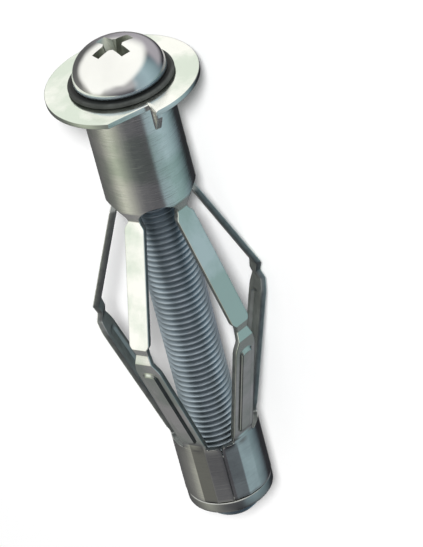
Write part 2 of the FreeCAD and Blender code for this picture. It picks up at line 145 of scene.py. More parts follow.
class SleeveSettings(bpy.types.PropertyGroup):
    """Sizes and finish of the sleeve."""

    sheet: length("Sheet", "Thickness of the sheet", 0.6)
    flange: length("Flange", "Radius of the flange", 8.04)
    tube: length("Collar", "Outer radius of both collars", 4.8)
    mouth: length("Mouth", "Rounding of the mouth in the flange", 0.8)
    slot_top: length("Slot top", "Flange underside to the top of the slots", 12.55)
    arch: length("Arch", "Height of the slots' arched ends", 1.25)
    neck: length("Neck", "Width of a leg at the upper fold", 1.4)
    fold_depth: length("Fold depth", "Upper fold inside the collar's surface", 0.38)
    upper_leg: length("Upper leg", "Width of the flat upper legs", 2.3)
    reach: length("Elbow reach", "Axis to the elbow's ridges", 9.42)
    crease: length("Crease", "Depth of the crease between the ridges", 0.25)
    lower_leg: length("Lower leg", "Width of the ribbed lower legs", 2.85)
    rib: length("Rib", "Width of the pressed ribs", 1.68)
    rib_height: length("Rib height", "Height of the pressed ribs", 0.28)
    edge: length("Edge", "Rounding along the sheared edges", 0.07)
    seam: length("Seam", "Gap of the butt seam", 0.12)
    claw: length("Claw", "Claw below the flange", 2.3)
    zinc: colour("Zinc", "Colour of the plated sheet", (0.96, 0.96, 0.925))
    bloom: colour("Bloom", "Pale green bloom in the plating", (0.7, 0.77, 0.69))
    shorn: colour("Cut edge", "Colour of the sheared edges", (0.33, 0.35, 0.35))
    # The inner side's colour is darkened as painted shade inside the tube
    inside: colour("Inside", "Colour of the sheet's inner side", (0.6, 0.63, 0.61))


class NutSettings(bpy.types.PropertyGroup):
    """Sizes and finish of the cap nut."""

    body: length("Body", "Radius inside the collar", 4.18)
    ring: length("Ring", "Radius of the ring outside the sleeve", 4.75)
    bevel: length("Bevel", "Bevel of the bore and the lower rim", 0.4)
    play: length("Play", "Play between the threads", 0.05)
    zinc: colour("Zinc", "Colour of the turned nut", (0.57, 0.58, 0.57))


class WasherSettings(bpy.types.PropertyGroup):
    """Sizes and finish of the washer."""

    rim: length("Rim", "Radius of the washer", 5.55)
    hole: length("Hole", "Radius of the washer's hole", 3.2)
    rounding: length("Rounding", "Rounding of the rim's edges", 0.26)
    dark: colour("Dark", "Colour of the washer", (0.032, 0.035, 0.033))


class ScrewSettings(bpy.types.PropertyGroup):
    """Sizes and finish of the screw."""

    crest: length("Crest", "Radius of the thread's crests", 3.0)
    pitch: length("Pitch", "Thread advance for one turn", 0.7)
    depth: length("Depth", "Depth of the thread", 0.43)
    head: length("Head", "Radius of the pan head", 4.87)
    wing: length("Wing", "Width of a wing of the cross recess", 1.12)
    wing_reach: length("Wing reach", "Wing's reach at the head's top", 2.45)
    recess: length("Recess", "Depth of the cross recess", 2.6)
    bright: colour("Bright", "Colour of the bright head", (0.95, 0.95, 0.94))
    # The recess colour is darker than the head as painted shade
    recess_painted_shade: colour("Recess_shade", "Colour of the cross recess", (0.72, 0.74, 0.69))
    # Under the head this colour is painted shade on the rim's lowest band
    thread: colour("Thread", "Colour of the thread and under the head", (0.56, 0.65, 0.73))


class StageSettings(bpy.types.PropertyGroup):
    """Floor, light and camera."""

    floor: colour("Floor", "Colour of the floor", (0.96, 0.96, 0.96))
    key: bpy.props.FloatProperty(
        name="Key", description="Power of the soft lamp", default=15.8, min=0.0
    )
    surround: bpy.props.FloatProperty(
        name="Surround", description="Strength of the light all round", default=0.36, min=0.0
    )
    lens: bpy.props.FloatProperty(
        name="Lens", description="Focal length of the camera", default=304.46, min=1.0,
        unit="CAMERA",
    )


def mesh_object(name, points, faces, apart, marks=None):
    """An object of the scene from points and faces, with marks for its materials.

    Points closer than apart are merged, and every closed shell is turned outwards.
    """
    mesh = bpy.data.meshes.new(name)
    mesh.from_pydata(points, [], faces)
    if marks is not None:
        mesh.polygons.foreach_set("material_index", np.asarray(marks, np.int32))
    work = bmesh.new()
    work.from_mesh(mesh)
    bmesh.ops.remove_doubles(work, verts=work.verts, dist=apart)
    bmesh.ops.recalc_face_normals(work, faces=work.faces)
    work.to_mesh(mesh)
    work.free()
    item = bpy.data.objects.new(name, mesh)
    bpy.context.scene.collection.objects.link(item)
    return item


def put_mesh(name, points, faces, materials, body, node, marks=None):
    """A piece from points in millimetres and faces, riding on a body in a node's stead."""
    piece = mesh_object(name, np.asarray(points, float) / 1000, faces, PIECE_MERGE, marks)
    piece.data.validate()
    piece.data.shade_smooth()
    piece.data.set_sharp_from_angle(angle=SHARP)
    for material in materials:
        piece.data.materials.append(material)
    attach(piece, body)
    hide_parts(node)


def grid_faces(rows, columns, closed=False):
    """Four-sided faces of a grid whose points run row by row."""
    across = columns if closed else columns - 1
    i, j = np.meshgrid(np.arange(rows - 1), np.arange(across), indexing="ij")
    k = (j + 1) % columns
    corners = [i * columns + j, i * columns + k, (i + 1) * columns + k, (i + 1) * columns + j]
    return np.stack(corners, -1).reshape(-1, 4)


def kept_faces(points, faces):
    """The faces that have an area, without those folded to a line or a point."""
    a, b, c, d = (points[faces[:, n]] for n in range(4))
    area = np.linalg.norm(np.cross(c - a, d - b), axis=1)
    return faces[area > 1e-8]


def bend_line(corners, radii, between, steps=5):
    """A line through corners with each inner corner rounded by an arc.

    Points are complex numbers, place + radius i. An arc of radius r at a corner
    leaves the line r tan(turn / 2) before it, meets it as far after it and turns
    evenly between. between gives the points on each run: as shares of the run,
    or as places along the axis.
    """
    corners = np.asarray(corners, complex)
    ways = np.diff(corners)
    ways = ways / np.abs(ways)
    points = [corners[:1]]
    for n in range(1, len(corners)):
        start = points[-1][-1]
        last = n == len(corners) - 1
        turn = 0.0 if last else np.angle(ways[n] / ways[n - 1])
        finish = corners[n] - ways[n - 1] * radii[n] * math.tan(abs(turn) / 2)
        kind, values = between[n - 1]
        shares = np.asarray(values, float)
        if kind == "places":
            shares = (shares - start.real) / (finish.real - start.real)
            shares = np.sort(np.clip(shares, 0.004, 0.996))
        points.append(start + (finish - start) * shares)
        if last:
            points.append(corners[-1:])
        else:
            arm = 1j * ways[n - 1] * np.sign(turn) * radii[n]
            points.append(finish + arm - arm * np.exp(1j * turn * np.linspace(0, 1, steps + 1)))
    return np.concatenate(points)


def around(place, radius, turn):
    """Points at places along the axis, radii and turns from +Z towards +Y."""
    return np.stack([place, radius * np.sin(turn), radius * np.cos(turn)], -1)


def turned(profile, count):
    """Points and faces of a profile, place + radius i, carried round the axis."""
    turn = np.linspace(0, 2 * np.pi, count, endpoint=False)
    place = np.broadcast_to(profile.real[:, None], (len(profile), count))
    radius = np.broadcast_to(profile.imag[:, None], (len(profile), count))
    points = around(place, radius, turn[None, :] + 0 * place).reshape(-1, 3)
    return points, kept_faces(points, grid_faces(len(profile), count, closed=True))


def joined(*shells):
    """Points and faces of several shells as one."""
    faces, offset = [], 0
    for own, those in shells:
        faces += [[corner + offset for corner in face] for face in those]
        offset += len(own)
    return np.concatenate([shell[0] for shell in shells]), faces


def smooth(share):
    """A share t from 0 to 1, eased at both ends: t^2 (3 - 2 t)."""
    return share**2 * (3 - 2 * share)


def thread_radius(place, turn, settings):
    """Radius of a rounded V thread at a place along the axis and a turn round it.

    A right-hand thread falls back by one pitch as the turn from +Z to +Y goes
    once round. The share of a pitch is therefore place / pitch plus turn / 2 pi.
    A triangle wave of the share, cut off at crest and root and half smoothed,
    gives the depth.
    """
    root, flank = 0.16, 0.66
    share = (place / (settings.pitch * 1000) + turn / (2 * np.pi)) % 1.0
    wave = np.clip((np.abs(2 * share - 1) - root) / flank, 0, 1)
    wave = 0.5 * wave + 0.5 * smooth(wave)
    return settings.crest * 1000 - settings.depth * 1000 * (1 - wave)


def thread_grid(first, last, settings, count):
    """Places, turns and radii of a thread between two ends, on a grid.

    Each column stands at one turn and its rows follow the helix: the place is
    the pitch times a row's share minus turn / 2 pi. Rows past an end are held at it.
    """
    pitch = settings.pitch * 1000
    share = np.array([0.0, 0.07, 0.2, 0.34, 0.45, 0.55, 0.66, 0.8, 0.93])
    steps = len(share)
    rows = np.arange(int(math.ceil((last - first) / pitch) + 3) * steps)
    along = (math.floor(first / pitch) + rows // steps + share[rows % steps]) * pitch
    turn = np.linspace(0, 2 * np.pi, count + 1)
    place = np.clip(along[:, None] - pitch * turn[None, :] / (2 * np.pi), first, last)
    turn = np.broadcast_to(turn, place.shape)
    return place, turn, thread_radius(place, turn, settings)


class Tree:
    """The node tree of a material or of the world, and the nodes that looks are made of.

    A value given to a node is the output of another, a number, or a colour.
    """

    def __init__(self, owner):
        owner.use_nodes = True
        self.nodes, self.links = owner.node_tree.nodes, owner.node_tree.links

    def give(self, socket, value):
        """Gives an input its value."""
        if isinstance(value, bpy.types.NodeSocket):
            self.links.new(value, socket)
        else:
            socket.default_value = (*value, 1) if socket.type == "RGBA" else value

    def node(self, kind, values):
        """A new node of a kind, with values for its inputs by name or number."""
        node = self.nodes.new(kind)
        for name, value in values.items():
            self.give(node.inputs[name], value)
        return node

    def ramp(self, value, stops):
        """A colour ramp on a value, from (place, colour) stops."""
        node = self.node("ShaderNodeValToRGB", {"Fac": value})
        elements = node.color_ramp.elements
        for n, (place, rgb) in enumerate(stops):
            element = elements[n] if n < 2 else elements.new(place)
            element.position = place
            element.color = (*rgb, 1)
        return node.outputs["Color"]

    def math(self, kind, *values):
        """The outcome of one kind of math on two or more values, from left to right."""
        outcome = values[0]
        for value in values[1:]:
            node = self.nodes.new("ShaderNodeMath")
            node.operation = kind
            self.give(node.inputs[0], outcome)
            self.give(node.inputs[1], value)
            outcome = node.outputs[0]
        return outcome

    def spread(self, value, low, high):
        """A share from 0 to 1 as a value goes from low to high, smoothly."""
        node = self.node(
            "ShaderNodeMapRange", {"Value": value, "From Min": low, "From Max": high}
        )
        node.interpolation_type = "SMOOTHSTEP"
        return node.outputs["Result"]

    def blend(self, share, a, b):
        """A mix of two colours by a share."""
        node = self.nodes.new("ShaderNodeMix")
        node.data_type = "RGBA"
        for number, value in ((0, share), (6, a), (7, b)):
            self.give(node.inputs[number], value)
        return node.outputs[2]

    def parts(self, vector):
        """The X, Y and Z of a vector."""
        return self.node("ShaderNodeSeparateXYZ", {"Vector": vector}).outputs


class Surface(Tree):
    """A procedural material on the object's own coordinates."""

    def __init__(self, name):
        self.material = bpy.data.materials.new(name)
        super().__init__(self.material)
        self.shader = self.nodes["Principled BSDF"].inputs
        self.place = self.nodes.new("ShaderNodeTexCoord").outputs["Object"]

    def noise(self, scale, detail=3.0, stretch=(1, 1, 1)):
        """Noise on the coordinates, drawn out by a stretch."""
        mapping = self.node("ShaderNodeMapping", {"Vector": self.place, "Scale": stretch})
        values = {"Vector": mapping.outputs["Vector"], "Scale": scale, "Detail": detail}
        return self.node("ShaderNodeTexNoise", values).outputs["Fac"]

    def mottled(self, noise, base, share, low=0.35, high=0.65):
        """A base colour that noise mottles with a share of itself."""
        dull = tuple(share * c for c in base)
        return self.ramp(noise, [(low, dull), (high, tuple(base))])

    def roughness(self, noise, low, high):
        """Roughness that follows noise between (place, roughness) ends."""
        return self.ramp(noise, [(place, (rough,) * 3) for place, rough in (low, high)])

    def axis_distance(self):
        """Distance of a point from the anchor's axis: the root of y^2 + z^2."""
        _, y, z = self.parts(self.place)
        square = self.math("ADD", self.math("MULTIPLY", y, y), self.math("MULTIPLY", z, z))
        return self.math("SQRT", square, 0.0)  # a root makes no use of the second value

    def relief(self, height, strength, distance):
        """Fine relief on the shader."""
        values = {"Height": height, "Strength": strength, "Distance": distance}
        self.give(self.shader["Normal"], self.node("ShaderNodeBump", values).outputs["Normal"])

    def finish(self, tone, rough, metallic=1.0):
        """The material, once its shader has a colour, a roughness and a metallic share."""
        self.give(self.shader["Base Color"], tone)
        self.give(self.shader["Roughness"], rough)
        self.give(self.shader["Metallic"], metallic)
        return self.material


def zinc_sheet(settings):
    """Zinc plate with a pale bloom and fine lines round the tube.

    The lower collar, which was curled last, is dulled by the working. One flat
    facet that curling left in the lower collar is made much darker, a painted
    dark reflection. The legs have hardly any lines, and the lower collar has weak ones.
    """
    look = Surface("zinc_sheet")
    x, y, z = look.parts(look.place)
    cloud = look.noise(170, 5.0)
    plate = look.ramp(cloud, [(0.41, settings.bloom), (0.57, settings.zinc)])
    dulled = look.ramp(cloud, [(0.4, (0.64, 0.64, 0.63)), (0.58, (0.8, 0.8, 0.78))])
    worked = look.spread(x, 0.0425, 0.0445)
    plate = look.blend(worked, plate, dulled)
    # Painted dark reflection: a mask of one flat facet of the lower collar, whose colour falls
    # to a dark grey
    pressed = look.math(
        "MULTIPLY", look.spread(y, -0.0005, -0.00036), look.spread(y, 0.0012, 0.00106),
        worked, look.spread(z, 0.003, 0.004),
    )
    tone = look.blend(pressed, plate, (0.27, 0.27, 0.27))
    lower_collar = look.math("MAXIMUM", look.spread(x, 0.0445, 0.0435), 0.6)
    leg = look.math("MULTIPLY", look.spread(x, 0.012, 0.014), lower_collar)
    lines = look.noise(420, 3.0, (16, 0.8, 0.8))
    look.relief(look.math("MULTIPLY", lines, look.spread(leg, 1.15, 0.0)), 0.5, 0.00006)
    return look.finish(tone, look.roughness(look.noise(420), (0.3, 0.11), (0.7, 0.19)))


def inner_skin_painted_shade(settings):
    """Inner side of the sheet: dull and clouded, its colour darkened as painted shade inside the
    tube.
    """
    look = Surface("inner_skin_painted_shade")
    # Painted shade: the inner side is darker than the plate outside
    return look.finish(
        look.mottled(look.noise(380, 4.0), settings.inside, 0.7, 0.38, 0.62), 0.32
    )


def shorn_edge(settings, name="shorn_edge", share=1.0):
    """Sheared edge of the sheet, rough and grey. A share below 1 makes a darker copy, painted
    shade on the ribs' flanks.
    """
    look = Surface(name)
    grain = look.noise(1200)
    look.relief(grain, 0.2, 0.00004)
    return look.finish(look.mottled(grain, [share * c for c in settings.shorn], 0.75), 0.42)


def zinc_nut(settings):
    """Zinc over a turned surface, with rings left by the lathe tool."""
    look = Surface("zinc_nut")
    look.relief(look.noise(1400, 1.0, (8, 0.2, 0.2)), 0.1, 0.00004)
    return look.finish(look.mottled(look.noise(300), settings.zinc, 0.86), 0.27)


def dark_washer(settings):
    """Dark finish, slightly mottled and dusty, with a painted shadow of the screw's head: near
    black out to 5.1 mm from the axis, fading out towards the rim.
    """
    look = Surface("dark_washer")
    base = tuple(settings.dark)
    dusty = tuple(1.8 * c for c in base)
    tone = look.ramp(look.noise(700, 4.0), [(0.4, base), (0.72, dusty)])
    # Painted shadow of the head: near black within 5.1 mm of the axis, fading out by 5.45 mm
    share = look.spread(look.axis_distance(), 0.0051, 0.00545)
    tone = look.blend(share, tuple(0.2 * c for c in base), tone)
    look.give(look.shader["Specular IOR Level"], 0.3)
    look.relief(look.noise(2600), 0.15, 0.00003)
    return look.finish(tone, 0.5, 0.1)


def bright_head(settings):
    """Bright plating over the rolled head."""
    look = Surface("bright_head")
    look.relief(look.noise(500, 2.0), 0.05, 0.0001)
    tone = look.mottled(look.noise(180), settings.bright, 0.92)
    return look.finish(tone, look.roughness(look.noise(520), (0.35, 0.09), (0.7, 0.15)))


def recess_metal_painted_shade(settings):
    """Metal of the cross recess: duller than the head, and darker grey as painted shade in the
    recess.
    """
    look = Surface("recess_metal_painted_shade")
    # Painted shade: the recess takes a darker grey than the bright head
    return look.finish(look.mottled(look.noise(900), settings.recess_painted_shade, 0.7), 0.3)


def rolled_thread(settings):
    """Rolled thread: plated like the head, but duller, with painted shade down in the groove."""
    look = Surface("rolled_thread")
    tone = look.mottled(look.noise(350), settings.thread, 0.8)
    root = settings.crest - settings.depth
    raised = look.spread(look.axis_distance(), root, settings.crest)
    # Painted shade in the groove: the colour falls to 0.55 of itself from crest to root
    tone = look.blend(raised, tuple(0.55 * c for c in settings.thread), tone)
    look.relief(look.noise(3000, 2.0), 0.08, 0.00003)
    return look.finish(tone, 0.42)


def sleeve_lines(s):
    """Outer and inner line of the sheet, from the flange's rim to the sleeve's end.

    The outer line runs under the flange, down the upper collar, out along a leg
    over its two ridges and back into the lower collar. Each corner of the inner
    line lies one sheet inside, on the line that halves the outer corner. Both
    start in the middle of the rim and end in the middle of the end face, which
    is dished by 0.01 mm, and have matching rows.
    """
    sheet, tube, edge = s.sheet * 1000, s.tube * 1000, s.edge * 1000
    rim, reach, top = s.flange * 1000, s.reach * 1000, s.slot_top * 1000
    outer = [
        complex(-sheet / 2, rim),
        complex(0, rim),
        complex(0, tube),
        complex(NECK_BEND, tube),
        complex(UPPER_FOLD, tube - s.fold_depth * 1000),
        complex(FIRST_RIDGE, reach),
        complex(CREASE, reach - s.crease * 1000),
        complex(SECOND_RIDGE, reach),
        complex(LOWER_FOLD, tube),
        complex(SLEEVE_END, tube),
        complex(SLEEVE_END - 0.01, tube - sheet / 2),
    ]
    outer = np.array(outer)
    ways = np.diff(outer)
    ways = ways / np.abs(ways)
    inner = outer.copy()
    for n in range(2, len(outer) - 2):
        middle = -1j * (ways[n - 1] + ways[n])
        middle = middle / abs(middle)
        inner[n] = outer[n] + middle * sheet / (np.conj(-1j * ways[n]) * middle).real
    inner[1] = complex(-sheet, rim)
    inner[-2] = complex(SLEEVE_END, tube - sheet)
    arch_radius, arch_turn = slot_arch(s)
    arch = top + arch_radius * (1 - np.cos(np.linspace(0, 1, 15) ** 1.2 * arch_turn))
    collar = np.concatenate([[0.4, 0.7, 1.2, 2, 3, 4.5, 6, 8, 10, 11.5], arch[arch < 12.75]])
    neck = arch[(arch > NECK_BEND + 0.12) & (arch < UPPER_FOLD - 0.2)]
    shoulder = UPPER_FOLD + np.array([0.15, 0.3, 0.45, 0.6, 0.75, 0.9, 1.1])
    upper = np.concatenate([shoulder, [17, 19, 21, 23, 25, 26.3, 26.62, 26.78]])
    rib = np.concatenate([np.linspace(29.25, 30.4, 8), np.linspace(30.44, 31.6, 15)])
    rib = np.concatenate([rib, np.linspace(31.9, 42.1, 14), np.linspace(42.35, 43.45, 14)])
    slots = [43.88, 43.96, 44.05, 44.12, SLOT_CORNER, 44.28, 44.35, 44.4, 44.43, 44.44, SLOT_END]
    lower = slots + [44.52, 44.6, 44.7, 44.85, 45.2, 46, 47.5, 49, 50.5, 51.4]
    between = [
        ("shares", []),
        ("shares", [0.12, 0.25, 0.38, 0.5, 0.6, 0.7, 0.8, 0.88, 0.95]),
        ("places", collar),
        ("places", neck),
        ("places", upper),
        ("shares", [0.35, 0.7]),
        ("shares", [0.25, 0.5, 0.75]),
        ("places", rib),
        ("places", lower),
        ("shares", []),
    ]
    outer_radii = [0, edge, 0.25, 1.2, 0.25, 0.15, 0.08, 0.15, 0.6, edge, 0]
    inner_radii = [0, edge, s.mouth * 1000, 1.0, 0.45, 0.06, 0.3, 0.06, 0.6, edge, 0]
    return bend_line(outer, outer_radii, between), bend_line(inner, inner_radii, between)


def slot_middle(s):
    """Way across from a sector's middle to just past the middle of the slot beside it."""
    return s.tube * 1000 * math.sin(HALF_SECTOR) + 0.02


def slot_arch(s):
    """Radius of the slots' arched ends, and the turn that an arch takes up to the neck.

    The arch is as high as the arch height h and spreads sideways by the way w
    from the neck's edge to the slot's middle, so its radius is (h^2 + w^2) / 2h.
    """
    high, wide = s.arch * 1000, slot_middle(s) - s.neck * 500
    radius = (high**2 + wide**2) / (2 * high)
    return radius, math.acos(1 - high / radius)


def leg_half_width(s, x):
    """Half the width between two slots at places along the axis.

    From the slots' top it falls along a circular arch to the neck, widens to
    the upper leg, narrows over the elbow, widens to the lower leg and ends in
    quarter rounds at the lower collar.
    """
    top, high, neck = s.slot_top * 1000, s.arch * 1000, s.neck * 500
    radius = slot_arch(s)[0]
    centre = top + radius
    arched = slot_middle(s) - np.sqrt(np.clip(radius**2 - (centre - x) ** 2, 0, None))
    upper, lower, fold = s.upper_leg * 500, s.lower_leg * 500, UPPER_FOLD
    table = [
        (fold, neck), (fold + 0.15, neck + 0.03), (fold + 0.3, neck + 0.11),
        (fold + 0.45, (neck + upper) / 2), (fold + 0.6, upper - 0.11),
        (fold + 0.75, upper - 0.03), (fold + 0.9, upper), (26.62, upper), (26.78, upper - 0.03),
        (FIRST_RIDGE, 0.89), (CREASE, 0.725), (SECOND_RIDGE, 1.0), (29.5, 1.16),
        (30.1, 1.35), (30.55, lower), (SLOT_CORNER, lower),
    ]
    leg = np.interp(x, *zip(*table))
    corner = 0.25
    rise = np.sqrt(np.clip(corner**2 - (x - SLOT_CORNER) ** 2, 0, None))
    half = np.where(x < top + high, arched, leg)
    return np.where(x > SLOT_CORNER, lower + corner - rise, half)


def rib_lift(s, x, y):
    """Height of the pressed rib: steep flanks, and rounded ends that slope down.

    The distance inside each edge is a share t of that edge's slope, 0.25 mm at
    the flanks and 0.6 mm at the ends, and lifts the sheet by t^2 (3 - 2 t). The
    rib's height is multiplied by all of them. An end lies 0.5 mm further back
    at the flanks than in the middle.
    """
    flank, slope, lead, tail = 0.25, 0.6, 1.45, 0.25
    run = LOWER_FOLD - SECOND_RIDGE
    slant = math.hypot(run, (s.reach - s.tube) * 1000) / run
    along = (x - SECOND_RIDGE) * slant
    half = s.rib * 500
    aside = np.minimum(np.abs(y) / half, 1)
    back = 0.5 * aside**2.5
    insides = (
        half * (1 - aside) / flank,
        (along - lead - back) / slope,
        (run * slant - tail - along - back) / slope,
    )
    lift = s.rib_height * 1000
    for inside in insides:
        lift = lift * smooth(np.clip(inside, 0, 1))
    return lift


def collar_flats(s, turn, x):
    """Depth of the flats that curling left in the lower collar, beside the seam.

    Between two neighbouring creases the surface is the chord in place of the
    arc: it lies R - R cos(half) / cos(turn from the chord's middle) inside.
    """
    radius = s.tube * 1000
    depth = np.zeros_like(turn)
    creases = np.radians([-5.0, 13.6, 36.0, 58.6, 77.0])  # the third is the seam
    for a, b in zip(creases[:-1], creases[1:]):
        middle, half = (a + b) / 2, (b - a) / 2
        off = np.clip(turn - middle, -half, half)
        depth = depth + radius * (1 - math.cos(half) / np.cos(off))
    return depth * np.clip((x - SLOT_END + 0.1) / 0.6, 0, 1)


def flange_rim(s, turn):
    """Radius of the rim at a turn: round, but for the straight cut of each claw's notch."""
    rim = s.flange * 1000
    radius = np.full_like(turn, rim)
    sweep = math.radians(CLAW_SWEEP)
    for fold in CLAW_FOLDS:
        back = math.radians(fold) - turn
        across = CLAW_ROOT * np.sin(back) + rim * np.sin(sweep - back)
        chord = CLAW_ROOT * rim * math.sin(sweep) / np.where(across == 0, 1, across)
        radius = np.where((back > 0.002) & (back < sweep), chord, radius)
    return radius


def sector_columns(number):
    """Shares of the half width at which a sector of the sleeve has columns.

    Besides the even ones there are columns at the claws' notches and folds and
    at the creases beside the seam, where these lie in the sector.
    """
    even = np.array([0, 0.12, 0.2, 0.25, 0.3, 0.35, 0.4, 0.45, 0.52, 0.62, 0.72, 0.82, 0.91, 1])
    turns = [-5.8, -5, -4.2, 12.8, 13.6, 14.4, 57.8, 58.6, 59.4, 76.2, 77, 77.8]
    for fold in CLAW_FOLDS:
        turns += [fold - CLAW_SWEEP, fold - 0.3, fold, fold + 0.25, fold + 0.7]
        turns += [fold + 1.3, fold + 2.4]
    turns = [turn - SECTOR * number for turn in turns]
    inside = [turn for turn in turns if abs(turn) < SECTOR / 2]
    special = np.sin(np.radians(inside)) / math.sin(HALF_SECTOR)
    return np.unique(np.concatenate([even, -even, special]))


def sector_sides(s, x, number):
    """Half width, edge rounding and cut rows of a sector's left and right side.

    x has the rows' places. A row is cut where a slot or the seam bounds it. The
    seam runs below the slots and flares towards them.
    """
    top, full, edge = s.slot_top * 1000, s.tube * 1000 * math.sin(HALF_SECTOR), s.edge * 1000
    is_slot = (x > top - 1e-6) & (x < SLOT_END - 0.005)
    half = np.where(is_slot, np.minimum(leg_half_width(s, x), full), full)
    soft = np.clip((x - top) / 0.1, 0, 1) * np.clip((SLOT_END - 0.01 - x) / 0.05, 0, 1)
    rounding = np.where(is_slot, edge * soft, 0)
    flare, run = 0.39, 0.4
    gap = s.seam * 500 + flare * np.clip((SLOT_END + run - x) / run, 0, 1) ** 1.5
    sides = []
    for side in (-1, 1):
        seam = (x > SLOT_END - 1e-6) & ((number, side) in SEAM_SIDES)
        width = np.where(seam, full - gap * math.cos(HALF_SECTOR), half)
        soft_edge = np.where(seam & (x > SLOT_END + 0.05), 0.5 * edge, rounding)
        sides.append((width, soft_edge, is_slot | seam))
    return sides


def drawn_flange(s, place, radius, turn, is_top):
    """Places and radii of the flange's points, with the notches and folds of the claws.

    Outside the notches' start the radius is stretched or shrunk so that the rim
    lies at flange_rim. Beside each fold the flange's top falls away by half the
    sheet along a quarter circle, 1 - sqrt(1 - (1 - b / r)^2) at b beside it.
    """
    rim, middle = s.flange * 1000, -s.sheet * 500
    share = (flange_rim(s, turn) - NOTCH_START) / (rim - NOTCH_START)
    outside = radius > NOTCH_START
    radius = np.where(outside, NOTCH_START + (radius - NOTCH_START) * share, radius)
    if is_top:
        width, start = 0.3, 6.35
        for fold in CLAW_FOLDS:
            beside = (turn - math.radians(fold)) * radius
            beside = np.where(beside > -1e-4, np.clip(beside, 0, width), width)
            drop = 1 - np.sqrt(np.clip(1 - (1 - beside / width) ** 2, 0, 1))
            drop = drop * np.clip((radius - start) / 0.1, 0, 1)
            place = np.where(outside, middle + (place - middle) * (1 - drop), place)
    return place, radius


def skin_marks(points, faces, lift):
    """Marks of the faces of the sheet's two sides.

    lift is the rib's height at the outer side's points, which come first. Where
    a rib's side or its lower end falls by over 0.05 mm within a face, the face
    gets a darker material, painted shade along the rib. The inner side starts past the mouth.
    """
    fall, rib_start, mouth_end = 0.05, 30.9, 0.9
    is_inner, place = faces[:, 0] >= len(lift), points[faces[:, 0], 0]
    a, b, c, d = lift[faces.T % len(lift)]
    steepest = np.maximum(np.abs(b - a + c - d), a + b - c - d) / 2
    # Painted shade: the steep faces of a rib get the darker copy of the cut-edge material
    flank = (steepest > fall) & (place > rib_start) & ~is_inner
    marks = np.where(flank, RIB_FLANK, OUTSIDE)
    return np.where(is_inner & (place > mouth_end), INSIDE, marks).tolist()


def sleeve_sector(s, outer, inner, number):
    """Points, faces and marks of one fifth of the sleeve: both sides and its cut edges.

    Row i is a place on the sheet's line, and column w a share of the half width
    h, so a point lies y = w h beside the sector's middle. A row of curl c has
    the radius of curvature R / c: the point's turn is asin(y c / R), and its
    height is r - (R / c) (1 - cos turn), which is r cos turn in the collars and
    r on a flat leg. Two more columns at each side round the sheared edge down.
    """
    sheet, tube, x = s.sheet * 1000, s.tube * 1000, outer.real
    core = sector_columns(number)
    share = np.concatenate([[-1, -1], core, [1, 1]])
    corner = 1 - math.sqrt(0.5)
    pull = np.concatenate([[0, corner], np.ones(len(core)), [corner, 0]])
    sunk = np.concatenate([[1, corner], np.zeros(len(core)), [corner, 1]])
    left, right = sector_sides(s, x, number)
    width = np.where(share > 0, right[0][:, None], left[0][:, None])
    rounding = np.where(share > 0, right[1][:, None], left[1][:, None])
    y = share * (width - rounding * pull)
    sink = rounding * sunk

    # The necks uncurl between their bend and the fold, and the legs curl up again
    # from just before the lower fold
    curl = np.clip((UPPER_FOLD - x) / (UPPER_FOLD - NECK_BEND), 0, 1)
    curl = np.clip(np.maximum(curl, (x - (LOWER_FOLD - 0.25)) / 0.7), 1e-3, 1)[:, None]
    widest = math.sin(HALF_SECTOR)
    turn = np.arcsin(np.clip(y * curl / tube, -widest, widest))
    offset = math.radians(SECTOR * number)
    through = inner - outer
    through = (through / np.maximum(np.abs(through), 1e-9))[:, None]

    places = x[:, None] + 0 * y
    slope = math.atan((s.reach - s.tube) * 1000 / (LOWER_FOLD - SECOND_RIDGE))
    on_leg = (places > SECOND_RIDGE) & (places < LOWER_FOLD)
    lift = np.where(on_leg, rib_lift(s, places, y), 0)
    flats = collar_flats(s, (turn + offset + 1) % (2 * np.pi) - 1, places)
    flats[-1] = 0  # both sides share the last row
    layers = []
    for line, way, curve in ((outer, 1, tube / curl), (inner, -1, tube / curl - sheet)):
        spot = line[:, None] + way * through * sink
        place, radius = spot.real + lift * math.sin(slope), spot.imag + lift * math.cos(slope)
        if way == 1:
            radius = radius - flats
        drawn = drawn_flange(s, place, radius, turn + offset, way == -1)
        place = np.where(places < 1, drawn[0], place)
        radius = np.where(places < 1, drawn[1], radius)
        curve = np.where(curl > 0.999, radius, curve)
        across, up = curve * np.sin(turn), radius - curve * (1 - np.cos(turn))
        side = across * math.cos(offset) + up * math.sin(offset)
        up = up * math.cos(offset) - across * math.sin(offset)
        layers.append(np.stack([place, side, up], -1).reshape(-1, 3))
    points = np.concatenate(layers)

    count, columns = y.size, len(share)
    grid = grid_faces(len(x), columns)
    skins = kept_faces(points, np.concatenate([grid, grid[:, ::-1] + count]))
    walls = []
    for column, cut in ((0, left[2]), (columns - 1, right[2])):
        a = np.flatnonzero(cut[:-1]) * columns + column
        b = a + columns
        walls.append(np.stack([a, b, b + count, a + count], -1))
    walls = kept_faces(points, np.concatenate(walls))
    marks = skin_marks(points, skins, lift.reshape(-1)) + [SHORN] * len(walls)
    return points, np.concatenate([skins, walls]), marks


